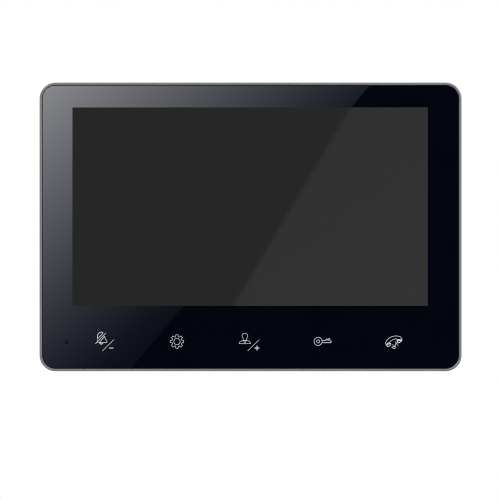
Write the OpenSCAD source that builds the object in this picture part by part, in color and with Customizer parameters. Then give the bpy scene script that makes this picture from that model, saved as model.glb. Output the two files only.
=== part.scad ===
// Seven inch hands-free video intercom monitor on its wall bracket.
//
// Frame: +Z is up, +X is right as seen from the front, and the front faces -Y.
// The wall is the plane Y = 0, and the origin is the centre of the bracket's back face.
// Depths are distances from the wall, so a depth of 10 lies at Y = -10.

/* [Body] */
// Width across the front
body_w = 183; // [183:1:190]
// Height up the front
body_h = 125.2; // [125.2:0.2:130]
// Depth of the rim's front edge
body_d = 21; // [21:0.5:24]
// Corner radius seen from the front
corner_r = 7; // [6:0.5:8]
// Width of the silver rim
rim_t = 1.1; // [1:0.1:1.3]
// Radius of the rim's rounded front edge
rim_round = 0.4; // [0.3:0.1:0.6]

/* [Glass and screen] */
// Thickness of the front glass
glass_t = 1.8; // [1.5:0.1:2]
// Gap between the rim and the glass
glass_gap = 0.2; // [0.2:0.1:0.5]
// Width of the screen's viewing area
view_w = 154.2; // [150:0.2:154.2]
// Height of the screen's viewing area
view_h = 86; // [84:0.2:86]
// Height of the viewing area's centre above the middle of the body
view_z = 8.8; // [8.4:0.1:9]

/* [Touch keys and microphone] */
// Distance from one touch key to the next
key_pitch = 31.4; // [28:0.2:33]
// Place of the middle key across the body
key_x = -0.5; // [-1:0.1:1]
// Height of the keys' centres
key_z = -49.7; // [-50.5:0.1:-49.5]
// Radius of the microphone's hole through the glass
mic_hole_r = 0.8; // [0.5:0.1:1]
// Place of the microphone across the body
mic_x = -79.5; // [-79.8:0.1:-79.5]
// Height of the microphone
mic_z = -50; // [-51:0.1:-50]

/* [Rear cover] */
// Wall thickness of the rear cover
cover_t = 1.8; // [1.5:0.1:2]
// Radius of the rear cover's rounded back edge
cover_round = 2; // [1:0.5:2.5]
// Depth of the pocket's floor that takes the wall bracket
recess_d = 4.4; // [4.2:0.1:4.6]
// Spacing of the cooling slots
vent_pitch = 5; // [4:0.5:6]

/* [Wall bracket] */
// Width of the bracket's plate
bracket_w = 112; // [108:1:114]
// Height of the bracket's plate
bracket_h = 80; // [78:1:82]
// Thickness of the bracket's steel
bracket_t = 1.2; // [1:0.1:1.2]
// How far the monitor lifts to come off the hooks
hook_lift = 6; // [5:0.5:6]
// Screw spacing of a round wall box
box_pitch = 60; // [60:0.1:61]
// Radius of the screw holes
screw_hole_r = 2.2; // [1.8:0.1:2.5]
// Width of the cable window
cable_w = 46; // [40:1:48]
// Height of the cable window
cable_h = 34; // [30:1:36]

/* [Speaker] */
// Radius of the speaker's basket
speaker_r = 14; // [12:0.5:14]
// Place of the speaker across the body
speaker_x = 74; // [73.5:0.1:74]
// Height of the speaker's centre
speaker_z = -22; // [-24:1:-21]

/* [Switch and card] */
// Travel of the power switch
switch_travel = 3; // [2:0.5:3]
// Height of the power switch
switch_z = 24; // [20:1:28]
// Height of the memory card
card_z = -16; // [-20:1:-12]

/* [Hidden] */

$fn = 48;

// Depths, from the wall to the front
back_face = 1;
back_inner = back_face + cover_t;
floor_inner = recess_d + cover_t;
board_near = 10;
board_t = 1.6;
board_far = board_near + board_t;
seam = 13;
seam_gap = 0.2;
glass_front = body_d - 0.1;
glass_back = glass_front - glass_t;
seat = glass_back - 0.25;
flange_t = 1.4;
flange_back = seat - flange_t;
web_front = seat - 1.85;
web_back = web_front - flange_t;
lcd_front = glass_back - 0.6;
lcd_d = 5.2;
lcd_back = lcd_front - lcd_d;

// Outlines inside the rim
inside_w = body_w - 2 * rim_t;
inside_h = body_h - 2 * rim_t;
inside_r = corner_r - rim_t;
glass_w = inside_w - 2 * glass_gap;
glass_h = inside_h - 2 * glass_gap;
glass_r = inside_r - glass_gap;
frame_play = 0.1;
frame_w = inside_w - 2 * frame_play;
frame_h = inside_h - 2 * frame_play;
frame_r = inside_r - frame_play;
frame_wall = 1.2;

// Display module: more border below the viewing area than above it
lcd_w = view_w + 10.8;
lcd_top = view_z + view_h / 2 + 4.4;
lcd_bottom = view_z - view_h / 2 - 9.6;
lcd_h = lcd_top - lcd_bottom;
lcd_z = (lcd_top + lcd_bottom) / 2;
sheet_t = 0.3;
guide_w = view_w + 3.8;
guide_h = view_h + 4;
films_t = 0.5;
cell_t = 1.4;
cell_far = lcd_front - sheet_t;
cell_near = cell_far - cell_t;
films_near = cell_near - films_t;
guide_near = lcd_back + 1;
cell_w = view_w + 6;
cell_bottom = lcd_bottom + 1.2;
cell_top = lcd_top - 2;

// Opening in the front frame for the display, and the chin below it for the keys
opening_w = lcd_w + 2;
opening_top = lcd_top + 1;
bar_top = lcd_bottom - 0.6;
bar_t = 1;
chin_bottom = -body_h / 2 + 5.4;

// Touch key board
keys = [for (i = [-2:2]) key_x + i * key_pitch];
touch_w = 150;
touch_top = bar_top - bar_t - 0.4;
touch_bottom = chin_bottom + 0.6;
touch_h = touch_top - touch_bottom;
touch_z = (touch_top + touch_bottom) / 2;
touch_near = web_front + 0.7;
touch_far = touch_near + 1;
pad_r = 3.8;
film_near = touch_far + 0.1;

// Screws that hold the rear cover to the front frame
cover_screw_x = body_w / 2 - 4.9;
cover_screw_zs = [-50, 4, 50];
post_r = 2.6;
cover_post_r = 2.9;
cover_post_tip_r = 2.2;
clamp_x = body_w / 2 - 5;
clamp_zs = [-28, 30];

// Pocket in the rear cover that takes the bracket and lets the monitor lift
recess_w = bracket_w + 3;
recess_top = bracket_h / 2 + 1.5;
recess_bottom = -bracket_h / 2 - hook_lift - 1.5;
recess_h = recess_top - recess_bottom;
recess_z = (recess_top + recess_bottom) / 2;

// Hooks: a stem forward from the plate and a lip up behind the pocket's floor
hook_w = 10;
hook_x = 36;
hook_zs = [-30, 24];
lip_near = floor_inner + 0.4;
lip_far = lip_near + bracket_t;
lip_h = hook_lift - 2;
hook_play = 0.1;
plug_w = 100;
plug_h = 68;

// Main board
board_left = -body_w / 2 + 2.7;
board_right = 56.5;
board_bottom = -37;
board_top = 41;
board_w = board_right - board_left;
board_h = board_top - board_bottom;
board_x = (board_left + board_right) / 2;
board_z = (board_top + board_bottom) / 2;
board_posts = [[-50, 37], [50, 37], [-50, -33], [50, -33]];

// Connector bay
bay_w = 50;
bay_h = 30;
header_w = 12.4;
header_h = 5.8;
header_top = 3;
header_places = [for (x = [-15.5, 0, 15.5], z = [-9, 9]) [x, z]];
pin_pitch = 2.5;
mic_socket_x = -64;

// Flexible circuits
flex_t = 0.15;
flex_near = board_far + 0.45;
flex_socket_z = -33;
lcd_flex_w = 28;
lcd_flex_z = lcd_bottom - 0.3;
touch_flex_w = 8;
touch_flex_x = -38;
touch_flex_z = -47.8;

// Power switch on the left edge of the board
side_x = -body_w / 2;
switch_x = side_x + 4.8;
switch_near = 6.6;
switch_half_h = 4.5;
stem_h = 2;
stem_near = 7.4;
stem_far = 9;
knob_z = switch_z - switch_travel / 2;

// Memory card, held with its edge just inside the side wall
card_w = 15;
card_h = 11;
card_near = 8.8;
card_t = 0.8;
card_x = side_x + 0.9 + card_w / 2;
card_play = 0.15;
socket_near = 8.3;

// ---- Building blocks ----

// Shape drawn in X and Z, extruded from one depth to another
module slab(near, far) {
    translate([0, -near, 0])
        rotate([90, 0, 0])
            linear_extrude(far - near)
                children();
}

// Moves a solid in the plane of the wall
module place(x, z) {
    translate([x, 0, z]) children();
}

// Box given by its centre, size and depths
module box(x, z, w, h, near, far) {
    translate([x - w / 2, -far, z - h / 2]) cube([w, far - near, h]);
}

// Round bar square to the wall
module rod(x, z, r, near, far) {
    place(x, z) slab(near, far) circle(r);
}

// Rectangle with round corners
module rounded_rect(w, h, r) {
    square([w - 2 * r, h], center = true);
    square([w, h - 2 * r], center = true);
    for (sx = [-1, 1], sz = [-1, 1])
        translate([sx * (w / 2 - r), sz * (h / 2 - r)])
            circle(r);
}

// Slot with round ends, upright
module slot_shape(w, h) {
    square([w, h - w], center = true);
    for (s = [-1, 1]) translate([0, s * (h - w) / 2]) circle(w / 2);
}

// Block with round corners whose outer edge follows points of [inset, depth]
module edged_block(w, h, r, edge) {
    last = len(edge) - 1;
    function flat(half) = concat(
        [for (p = edge) [half - p[0], p[1]]],
        [for (i = [last:-1:0]) [edge[i][0] - half, edge[i][1]]]
    );
    rotate([180, -90, 0])
        linear_extrude(w - 2 * r, center = true)
            polygon(flat(h / 2));
    rotate([180, 0, 0])
        linear_extrude(h - 2 * r, center = true)
            polygon(flat(w / 2));
    corner = concat([[0, edge[0][1]]], [for (p = edge) [r - p[0], p[1]]], [[0, edge[last][1]]]);
    for (sx = [-1, 1], sz = [-1, 1])
        place(sx * (w / 2 - r), sz * (h / 2 - r))
            rotate([90, 0, 0])
                rotate_extrude()
                    polygon(corner);
}

// Frame with round outer corners around a rectangular opening
module ring(w, h, r, hole_w, hole_h, near, far, hole_z = 0) {
    slab(near, far)
        difference() {
            rounded_rect(w, h, r);
            translate([0, hole_z]) square([hole_w, hole_h], center = true);
        }
}

// Pan-head screw with a cross recess, driven towards the front
module screw(x, z, head_r, head_t, shank_r, head_near, tip) {
    recess = head_t / 2;
    difference() {
        union() {
            rod(x, z, head_r, head_near, head_near + head_t);
            rod(x, z, shank_r, head_near + head_t, tip);
        }
        for (size = [[1.2 * head_r, 0.5], [0.5, 1.2 * head_r]])
            box(x, z, size[0], size[1], head_near - 1, head_near + recess);
    }
}

// Chip on the side of the main board that faces the wall
module chip(x, z, w, h, t) {
    box(x, z, w, h, board_near - t, board_near);
}

// Insulated wire through a list of points of [x, depth, z]
module lead(points, r) {
    for (i = [1:len(points) - 1]) {
        a = [points[i - 1][0], -points[i - 1][1], points[i - 1][2]];
        b = [points[i][0], -points[i][1], points[i][2]];
        d = b - a;
        translate(a)
            rotate([0, acos(d[2] / norm(d)), atan2(d[1], d[0])])
                cylinder(h = norm(d), r = r);
        if (i > 1) translate(a) sphere(r);
    }
}

// ---- Wall bracket ----

// One hook bent out of the plate
module hook(x, z) {
    box(x, z + bracket_t / 2, hook_w, bracket_t, 0, lip_far);
    box(x, z + (bracket_t + lip_h) / 2, hook_w, bracket_t + lip_h, lip_near, lip_far);
}

// Window that the hook leaves in the plate above its stem
module hook_window(x, z) {
    strip = lip_far + lip_h;
    box(x, z + bracket_t + strip / 2, hook_w + 0.6, strip, -1, bracket_t + 1);
}

module wall_bracket() {
    color("lightsteelblue") {
        difference() {
            slab(0, bracket_t) rounded_rect(bracket_w, bracket_h, 4);
            slab(-1, bracket_t + 1) rounded_rect(cable_w, cable_h, 3);
            for (s = [-1, 1]) {
                rod(s * box_pitch / 2, 0, screw_hole_r, -1, bracket_t + 1);
                rod(0, s * box_pitch / 2, screw_hole_r, -1, bracket_t + 1);
                for (t = [-1, 1])
                    rod(s * plug_w / 2, t * plug_h / 2, screw_hole_r, -1, bracket_t + 1);
                for (z = hook_zs) hook_window(s * hook_x, z);
            }
            // Arrow that shows which way is up
            slab(-1, bracket_t + 1) polygon([[11, 27], [17, 27], [14, 34]]);
        }
        for (s = [-1, 1], z = hook_zs) hook(s * hook_x, z);
    }
}

// ---- Enclosure ----

// Silver band whose front is rounded outside and slopes down to the glass inside
module rim_trim() {
    slope = 0.25;
    front = [for (a = [90:-30:0])
        [rim_round * (1 - sin(a)), body_d - rim_round * (1 - cos(a))]];
    color("silver")
        difference() {
            edged_block(body_w, body_h, corner_r, concat([[0, seam + seam_gap]], front,
                [[rim_t - slope, body_d], [rim_t, body_d - slope]]));
            slab(seam, body_d + 1) rounded_rect(inside_w, inside_h, inside_r);
        }
}

// Blind post for a screw that comes from the wall side
module frame_post(x, z, r, bore_r, near) {
    difference() {
        rod(x, z, r, near, flange_back + 0.2);
        rod(x, z, bore_r, near - 1, flange_back - 0.4);
    }
}

module front_frame() {
    chin_w = opening_w + 2;
    color("dimgray") {
        difference() {
            union() {
                slab(board_far, seat)
                    difference() {
                        rounded_rect(frame_w, frame_h, frame_r);
                        rounded_rect(frame_w - 2 * frame_wall, frame_h - 2 * frame_wall,
                            frame_r - frame_wall);
                    }
                slab(flange_back, seat)
                    difference() {
                        rounded_rect(frame_w - frame_wall, frame_h - frame_wall, frame_r - 1);
                        translate([-opening_w / 2, chin_bottom])
                            square([opening_w, opening_top - chin_bottom]);
                    }
                // Chin: a tray behind the touch board, with a bar under the display
                slab(web_back, web_front)
                    translate([-chin_w / 2, chin_bottom - 1])
                        square([chin_w, bar_top - chin_bottom + 1]);
                slab(web_back, seat)
                    translate([-chin_w / 2, bar_top - bar_t])
                        square([chin_w, bar_t]);
                for (s = [-1, 1])
                    box(s * (opening_w + 1) / 2, (bar_top + chin_bottom - 1) / 2, 1,
                        bar_top - chin_bottom + 1, web_back, flange_back + 0.2);
                box(0, chin_bottom - 0.5, chin_w, 1, web_back, flange_back + 0.2);
                for (s = [-1, 1]) {
                    for (z = cover_screw_zs)
                        frame_post(s * cover_screw_x, z, post_r, 1.1, seam + seam_gap);
                    for (z = clamp_zs)
                        frame_post(s * clamp_x, z, 2.3, 0.8, lcd_back);
                }
            }
            rod(mic_x, mic_z, 3.7, web_back - 1, web_front + 1);
            box(touch_flex_x, touch_flex_z, touch_flex_w + 1, 1.2, web_back - 1, web_front + 1);
        }
    }
}

module front_glass() {
    edge = 0.25;
    color("midnightblue")
        difference() {
            edged_block(glass_w, glass_h, glass_r,
                [[0, glass_back], [0, glass_front - edge], [edge, glass_front]]);
            rod(mic_x, mic_z, mic_hole_r, glass_back - 1, glass_front + 1);
        }
}

module glass_tape() {
    color("black")
        ring(glass_w - 1, glass_h - 1, glass_r - 0.5, opening_w + 1.4,
            glass_h - 6.4, seat, glass_back);
}

// Places on both sides of the body where a cover screw goes
module at_cover_screws() {
    for (s = [-1, 1], z = cover_screw_zs) place(s * cover_screw_x, z) children();
}

// Slots over the speaker, each as long as its chord of the cone
module speaker_grille() {
    slot_w = 1.6;
    reach = speaker_r - 3;
    for (i = [-3:3]) {
        x = i * 3;
        place(speaker_x + x, speaker_z)
            slab(back_face - 1, back_inner + 1)
                slot_shape(slot_w, 2 * round(sqrt(reach * reach - x * x)));
    }
}

// Rows of cooling slots through the top and bottom walls
module vents() {
    slot_w = 1.6;
    per_row = 8;
    for (top = [-1, 1], side = [-1, 1], i = [0:per_row - 1])
        box(side * (22 + i * vent_pitch), top * body_h / 2, slot_w, 4 * cover_t, 5, 10);
}

// Pockets and slots in the left side wall for the switch and the card
module side_cuts() {
    dish = 1.4;
    box(side_x, switch_z, dish, 11, 5.9, 10.5);
    box(side_x, switch_z, 8, stem_h + switch_travel + 0.6, stem_near - 0.3, stem_far + 0.3);
    box(side_x, card_z, dish, card_h + 4, 7.2, 11);
    box(side_x, card_z, 8, card_h + 0.8, card_near - 0.3, card_near + card_t + 0.3);
}

module rear_cover() {
    wall = 2 * cover_t;
    back = [for (a = [0:22.5:90])
        [cover_round * (1 - sin(a)), back_face + cover_round * (1 - cos(a))]];
    slot_top = bracket_t + hook_play;
    slot_bottom = -hook_lift - 0.4;
    color("gainsboro")
        difference() {
            union() {
                difference() {
                    edged_block(body_w, body_h, corner_r, concat(back, [[0, seam]]));
                    slab(back_inner, seam + 1)
                        rounded_rect(body_w - wall, body_h - wall, corner_r - cover_t);
                    slab(board_far - 0.1, seam + 1)
                        rounded_rect(inside_w + 0.2, inside_h + 0.2, inside_r + 0.1);
                }
                place(0, recess_z)
                    slab(back_face + 0.5, floor_inner)
                        rounded_rect(recess_w + wall, recess_h + wall, 5 + cover_t);
                for (p = board_posts)
                    rod(p[0], p[1], 2.8, floor_inner - 0.5, board_near);
                at_cover_screws() {
                    rod(0, 0, cover_post_r, back_inner - 0.5, board_far - 0.2);
                    rod(0, 0, cover_post_tip_r, board_near, seam);
                }
                difference() {
                    rod(speaker_x, speaker_z, speaker_r + 1.2, back_inner - 0.5, back_inner + 2);
                    rod(speaker_x, speaker_z, speaker_r + 0.2, back_inner - 1, back_inner + 3);
                }
            }
            place(0, recess_z)
                slab(back_face - 1, recess_d)
                    rounded_rect(recess_w, recess_h, 5);
            slab(recess_d - 1, floor_inner + 1) rounded_rect(bay_w, bay_h, 2);
            for (s = [-1, 1], z = hook_zs)
                box(s * hook_x, z + (slot_top + slot_bottom) / 2, hook_w + 1.6,
                    slot_top - slot_bottom, recess_d - 1, floor_inner + 1);
            for (p = board_posts) rod(p[0], p[1], 1, floor_inner + 0.4, board_near + 1);
            at_cover_screws() {
                rod(0, 0, 2.2, back_face - 1, 4);
                rod(0, 0, 1.2, back_face, seam + 1);
            }
            box(-speaker_x, speaker_z, 22.4, 40.4, back_face - 1, back_face + 0.2);
            speaker_grille();
            vents();
            side_cuts();
        }
}

module cover_screws() {
    color("gray")
        at_cover_screws() screw(0, 0, 1.9, 1.4, 1, 2.6, flange_back - 0.9);
}

module rating_label() {
    color("white")
        box(-speaker_x, speaker_z, 22, 40, back_face + 0.08, back_face + 0.2);
}

// ---- Display module ----

module lcd_gasket() {
    border = 3.4;
    color("black")
        place(0, view_z)
            ring(view_w + 2 + 2 * border, view_h + 2 + 2 * border, 1, view_w + 2, view_h + 2,
                lcd_front, glass_back);
}

module lcd_frame() {
    color("lightgray")
        difference() {
            box(0, lcd_z, lcd_w, lcd_h, lcd_back + 1.2, lcd_front);
            box(0, lcd_z, lcd_w - 2 * sheet_t, lcd_h - 2 * sheet_t, lcd_back, cell_far);
            box(0, view_z, view_w + 0.8, view_h + 0.8, lcd_back, lcd_front + 1);
            box(0, lcd_bottom, lcd_flex_w + 1, 2, cell_near + 0.2, cell_near + 1);
        }
}

module lcd_cell() {
    color("darkslategray")
        box(0, (cell_top + cell_bottom) / 2, cell_w, cell_top - cell_bottom, cell_near, cell_far);
}

module optical_films() {
    color("whitesmoke") box(0, view_z, guide_w, guide_h, films_near, cell_near);
}

module light_guide() {
    color("azure") box(0, view_z, guide_w, guide_h, guide_near, films_near);
}

module reflector_sheet() {
    color("white") box(0, view_z, guide_w, guide_h, guide_near - 0.2, guide_near);
}

// Strip of backlight lamps along the light guide's lower edge
module led_strip() {
    lamps = 18;
    strip_w = guide_w - 4;
    strip_z = view_z - guide_h / 2 - 1.5;
    color("khaki") {
        box(0, strip_z, strip_w, 0.8, guide_near, films_near);
        for (i = [0:lamps - 1])
            box((i - (lamps - 1) / 2) * strip_w / lamps, strip_z + 0.7, 3.2, 0.8,
                guide_near + 0.5, films_near - 0.5);
    }
}

module lcd_tray() {
    pocket_top = view_z + guide_h / 2 + 0.2;
    pocket_bottom = view_z - guide_h / 2 - 2.4;
    color("ivory")
        difference() {
            box(0, lcd_z, lcd_w - 0.8, lcd_h - 0.8, lcd_back, cell_near);
            box(0, (pocket_top + pocket_bottom) / 2, guide_w + 0.4, pocket_top - pocket_bottom,
                guide_near - 0.2, cell_near + 1);
        }
}

module lcd_flex() {
    tail_near = cell_near + 0.4;
    back_top = flex_socket_z - 0.5;
    color("orange") {
        box(0, (lcd_flex_z + cell_bottom) / 2, lcd_flex_w, cell_bottom - lcd_flex_z,
            tail_near, tail_near + flex_t);
        box(0, lcd_flex_z + flex_t / 2, lcd_flex_w, flex_t, flex_near, tail_near + flex_t);
        box(0, (lcd_flex_z + back_top) / 2, lcd_flex_w, back_top - lcd_flex_z,
            flex_near, flex_near + flex_t);
    }
}

module lcd_clamps() {
    color("silver")
        for (s = [-1, 1], z = clamp_zs)
            difference() {
                box(s * (clamp_x - 2.3), z, 9.4, 8, lcd_back - 0.6, lcd_back);
                rod(s * clamp_x, z, 0.9, lcd_back - 1, lcd_back + 1);
            }
}

module clamp_screws() {
    color("gray")
        for (s = [-1, 1], z = clamp_zs)
            screw(s * clamp_x, z, 1.6, 0.8, 0.7, lcd_back - 1.4, flange_back - 0.9);
}

// ---- Touch keys ----

module touch_board() {
    color("darkgreen") box(0, touch_z, touch_w, touch_h, touch_near, touch_far);
}

module touch_pads() {
    color("orange")
        for (x = keys) rod(x, key_z, pad_r, touch_far, film_near);
}

module touch_film() {
    color("whitesmoke") box(0, touch_z, touch_w, touch_h, film_near, glass_back);
}

module key_leds() {
    color("yellow")
        for (x = keys) box(x, key_z, 1.6, 1.6, touch_near - 0.6, touch_near);
}

module touch_chip() {
    color("black") box(16, touch_z, 5, 5, touch_near - 0.6, touch_near);
}

module touch_cable() {
    back_top = flex_socket_z - 0.5;
    joint_z = touch_flex_z - 2.5;
    color("orange") {
        box(touch_flex_x, (joint_z + touch_flex_z) / 2, touch_flex_w, touch_flex_z - joint_z,
            touch_near - flex_t, touch_near);
        box(touch_flex_x, touch_flex_z + flex_t / 2, touch_flex_w, flex_t, flex_near, touch_near);
        box(touch_flex_x, (touch_flex_z + back_top) / 2, touch_flex_w, back_top - touch_flex_z,
            flex_near, flex_near + flex_t);
    }
}

// ---- Microphone and speaker ----

mic_r = 2.5;
mic_near = web_back + 0.2;
mic_far = mic_near + 2.2;

module mic_boot() {
    color("black")
        difference() {
            rod(mic_x, mic_z, 3.6, web_back - 0.4, glass_back);
            rod(mic_x, mic_z, mic_r, web_back - 1, mic_far);
            rod(mic_x, mic_z, mic_hole_r, mic_far - 1, glass_back + 1);
        }
}

module microphone() {
    color("silver") rod(mic_x, mic_z, mic_r, mic_near, mic_far);
}

module mic_leads() {
    drop_depth = 9;
    color("red")
        for (s = [0, 1])
            lead([
                [mic_x + 0.7 - 1.4 * s, mic_near, mic_z],
                [mic_x + 0.7 - 1.4 * s, drop_depth - s, mic_z],
                [mic_socket_x - 1 + 2 * s, drop_depth - s, mic_z],
                [mic_socket_x - 1 + 2 * s, drop_depth - s, board_bottom]
            ], 0.4);
}

// Turns a profile of [radius, depth] about the speaker's axis
module speaker_turned(profile) {
    place(speaker_x, speaker_z)
        rotate([90, 0, 0])
            rotate_extrude()
                polygon(profile);
}

basket_near = back_inner + 0.5;
basket_far = basket_near + 4.4;

module speaker_basket() {
    color("dimgray")
        speaker_turned([
            [speaker_r, basket_near], [speaker_r, basket_near + 0.8],
            [speaker_r - 1.6, basket_near + 0.8], [speaker_r - 4, basket_far],
            [4.2, basket_far], [4.2, basket_far - 0.6],
            [speaker_r - 4.6, basket_far - 0.6], [speaker_r - 2.4, basket_near]
        ]);
}

module speaker_magnet() {
    color("silver")
        speaker_turned([
            [0, basket_far - 1.6], [3.4, basket_far - 1.6], [3.4, basket_far],
            [speaker_r - 6, basket_far], [speaker_r - 6, basket_far + 1.8], [0, basket_far + 1.8]
        ]);
}

module speaker_cone() {
    rim = speaker_r - 3.2;
    color("black")
        speaker_turned([
            [0, basket_near + 0.4], [3, basket_near + 1.1], [5, basket_near + 2.2],
            [rim - 2, basket_near + 0.7], [rim, basket_near + 0.3], [rim, basket_near + 0.6],
            [rim - 2, basket_near + 1], [5, basket_near + 2.5], [3, basket_near + 1.4],
            [0, basket_near + 0.7]
        ]);
}

module speaker_gasket() {
    color("black")
        difference() {
            rod(speaker_x, speaker_z, speaker_r, back_inner, basket_near);
            rod(speaker_x, speaker_z, speaker_r - 2.4, back_inner - 1, basket_near + 1);
        }
}

module speaker_leads() {
    lead_depth = basket_far + 0.4;
    lead_end = board_right - 1.4;
    color("black")
        for (s = [-1, 1])
            lead([
                [speaker_x - 11, lead_depth, speaker_z + s],
                [lead_end, lead_depth, speaker_z + s]
            ], 0.4);
}

// ---- Main board ----

module main_board() {
    color("darkgreen")
        difference() {
            box(board_x, board_z, board_w, board_h, board_near, board_far);
            for (p = board_posts) rod(p[0], p[1], 1.2, board_near - 1, board_far + 1);
            rod(-cover_screw_x, cover_screw_zs[1], cover_post_r + 0.5,
                board_near - 1, board_far + 1);
        }
}

module processor() {
    color("black") chip(2, 28, 14, 14, 1.4);
}

module memory_chips() {
    color("black") {
        chip(20, 32, 10, 8, 1.1);
        chip(20, 21, 10, 8, 1.1);
    }
}

module video_decoder() {
    color("black") chip(-16, 28, 10, 10, 1);
}

module power_coils() {
    color("dimgray")
        for (z = [0, 10, 20])
            difference() {
                chip(-50, z, 7, 7, 3);
                rod(-50, z, 2, board_near - 4, board_near - 2.6);
            }
}

module bulk_capacitors() {
    color("silver")
        for (p = [[-66, 33], [-66, 23], [-75, 33], [-75, 13], [-66, 13]])
            rod(p[0], p[1], 3.15, board_near - 6, board_near);
}

module small_capacitors() {
    color("tan")
        for (x = [-80:8:48], z = [-24, 16])
            box(x, z, 1.6, 0.8, board_far, board_far + 0.8);
}

module crystal() {
    color("silver") chip(2, 17.8, 5, 3.2, 1.2);
}

// Pin header with a shroud that is open towards the wall
module header(x, z) {
    difference() {
        box(x, z, header_w, header_h, header_top, board_near);
        box(x, z + 0.3, header_w - 1.8, header_h - 2, header_top - 1, board_near - 2);
    }
}

module door_headers() {
    color("ivory")
        for (p = header_places) header(p[0], p[1]);
}

module header_pins() {
    color("gold")
        for (p = header_places, i = [-1.5:1.5])
            box(p[0] + i * pin_pitch, p[1], 0.64, 0.64, header_top + 1, board_near - 2);
}

// Two-way sockets for the microphone's and the speaker's leads
module lead_sockets() {
    color("ivory") {
        chip(board_right - 4, speaker_z, 5, 6, 3);
        chip(mic_socket_x, board_bottom + 2, 6, 4, 3);
    }
}

module flex_sockets() {
    color("ivory")
        for (spec = [[0, lcd_flex_w + 3], [touch_flex_x, touch_flex_w + 3]])
            difference() {
                box(spec[0], flex_socket_z, spec[1], 4, board_far, board_far + 1.2);
                box(spec[0], flex_socket_z - 1, spec[1] - 2.4, 3.2,
                    flex_near - 0.05, flex_near + flex_t + 0.05);
            }
}

module board_screws() {
    color("gray")
        for (p = board_posts)
            translate([0, -board_far - board_near, 0])
                mirror([0, 1, 0])
                    screw(p[0], p[1], 2.2, 1.1, 0.9, board_near - 1.1, board_far + 2.9);
}

module card_socket() {
    shell_x = side_x + 2.9;
    shell_w = 15;
    color("silver")
        difference() {
            box(shell_x + shell_w / 2, card_z, shell_w, card_h + 3, socket_near, board_near);
            box(shell_x + shell_w / 2 - 1, card_z, shell_w, card_h + 2 * card_play,
                card_near - card_play, card_near + card_t + card_play);
        }
}

module memory_card() {
    color("black")
        difference() {
            box(card_x, card_z, card_w, card_h, card_near, card_near + card_t);
            box(card_x + card_w / 2, card_z - card_h / 2, 13, 2.4, card_near - 1, card_near + 2);
        }
}

module switch_body() {
    shell_w = 3.8;
    cavity_w = 2.6;
    color("silver")
        difference() {
            box(switch_x, switch_z, shell_w, 2 * switch_half_h, switch_near, board_near);
            box(switch_x, switch_z, cavity_w, 2 * switch_half_h - 1,
                stem_near - 0.4, stem_far + 0.6);
            box(switch_x - shell_w / 2, switch_z, shell_w, stem_h + switch_travel + 0.8,
                stem_near - 0.2, stem_far + 0.2);
        }
}

module switch_knob() {
    slider_w = 2.2;
    slider_h = 3.6;
    stem_w = switch_x - side_x - 0.1;
    color("black") {
        box(switch_x, knob_z, slider_w, slider_h, stem_near - 0.2, stem_far + 0.4);
        box(switch_x - stem_w / 2, knob_z, stem_w, stem_h, stem_near, stem_far);
    }
}

wall_bracket();
rim_trim();
front_frame();
front_glass();
glass_tape();
rear_cover();
cover_screws();
rating_label();
lcd_gasket();
lcd_frame();
lcd_cell();
optical_films();
light_guide();
reflector_sheet();
led_strip();
lcd_tray();
lcd_flex();
lcd_clamps();
clamp_screws();
touch_board();
touch_pads();
touch_film();
key_leds();
touch_chip();
touch_cable();
mic_boot();
microphone();
mic_leads();
speaker_basket();
speaker_magnet();
speaker_cone();
speaker_gasket();
speaker_leads();
main_board();
processor();
memory_chips();
video_decoder();
power_coils();
bulk_capacitors();
small_capacitors();
crystal();
door_headers();
header_pins();
lead_sockets();
flex_sockets();
board_screws();
card_socket();
memory_card();
switch_body();
switch_knob();
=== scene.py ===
"""Looks of the video intercom monitor on its wall bracket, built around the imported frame.

Lengths are in metres, and in millimetres only where a comment says so. +Z is up, +X to the right seen from
the front, the front faces -Y, and the wall is the plane y = 0.
"""
import math

import bmesh
import bpy
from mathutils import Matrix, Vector
from mathutils.geometry import delaunay_2d_cdt


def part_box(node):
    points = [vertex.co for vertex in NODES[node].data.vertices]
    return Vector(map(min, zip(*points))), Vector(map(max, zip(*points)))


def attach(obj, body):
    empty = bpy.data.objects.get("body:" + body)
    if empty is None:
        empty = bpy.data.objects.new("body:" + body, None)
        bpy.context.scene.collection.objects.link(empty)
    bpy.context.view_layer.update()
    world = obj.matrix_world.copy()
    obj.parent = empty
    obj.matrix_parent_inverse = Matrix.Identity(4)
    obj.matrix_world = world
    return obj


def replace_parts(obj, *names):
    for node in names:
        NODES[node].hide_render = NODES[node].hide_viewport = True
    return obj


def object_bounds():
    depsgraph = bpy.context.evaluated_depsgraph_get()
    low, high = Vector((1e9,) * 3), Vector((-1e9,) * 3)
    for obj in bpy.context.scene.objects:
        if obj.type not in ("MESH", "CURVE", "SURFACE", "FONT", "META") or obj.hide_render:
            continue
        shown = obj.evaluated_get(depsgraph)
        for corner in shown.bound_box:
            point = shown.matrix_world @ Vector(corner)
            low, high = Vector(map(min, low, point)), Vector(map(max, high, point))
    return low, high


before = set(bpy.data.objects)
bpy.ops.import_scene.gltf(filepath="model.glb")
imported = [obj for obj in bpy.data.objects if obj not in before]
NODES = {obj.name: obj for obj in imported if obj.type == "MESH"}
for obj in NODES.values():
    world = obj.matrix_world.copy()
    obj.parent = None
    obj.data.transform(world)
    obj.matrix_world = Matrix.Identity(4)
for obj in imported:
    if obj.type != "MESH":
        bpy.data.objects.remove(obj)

CAD_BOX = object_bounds()
MM = 0.001
SCENE = bpy.context.scene

# ---- Node materials ----


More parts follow.
